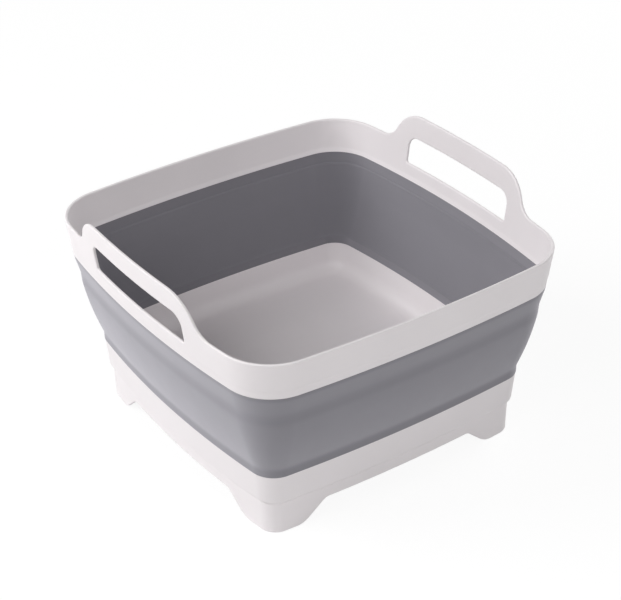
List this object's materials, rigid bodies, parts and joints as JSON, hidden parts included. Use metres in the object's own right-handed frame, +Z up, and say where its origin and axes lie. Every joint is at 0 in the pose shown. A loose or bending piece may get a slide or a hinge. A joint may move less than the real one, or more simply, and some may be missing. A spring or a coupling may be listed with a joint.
{
  "type": "washing up bowl",
  "caption": "Square folding washing-up bowl: rigid rim with two loop handles, soft folding wall, footed tray with a stoppered drain.",
  "frame": {"origin": "on the ground below the middle of the bowl, in the plane of the feet", "axes": "+Z up out of the bowl's mouth, +X towards one of the two handles, +Y towards the plain side away from the drain"},
  "size_m": [0.3216, 0.312, 0.2025],
  "materials": {
    "off_white_plastic": "satin moulded polypropylene",
    "grey_soft_plastic": "matt thermoplastic elastomer"
  },
  "bodies": {
    "tray": {"base_tray": "off_white_plastic", "folding_wall": "grey_soft_plastic"},
    "rim": {"rim_frame": "off_white_plastic"},
    "stopper": {"drain_plug": "grey_soft_plastic"}
  },
  "joints": [
    {"name": "rim_fold", "type": "slide", "parent": "tray", "child": "rim", "axis": [0, 0, 1], "range_m": [-0.116, 0], "deforming": ["folding_wall"]},
    {"name": "stopper_pull", "type": "slide", "parent": "tray", "child": "stopper", "axis": [0, 0, 1], "range_m": [0, 0.19]}
  ]
}
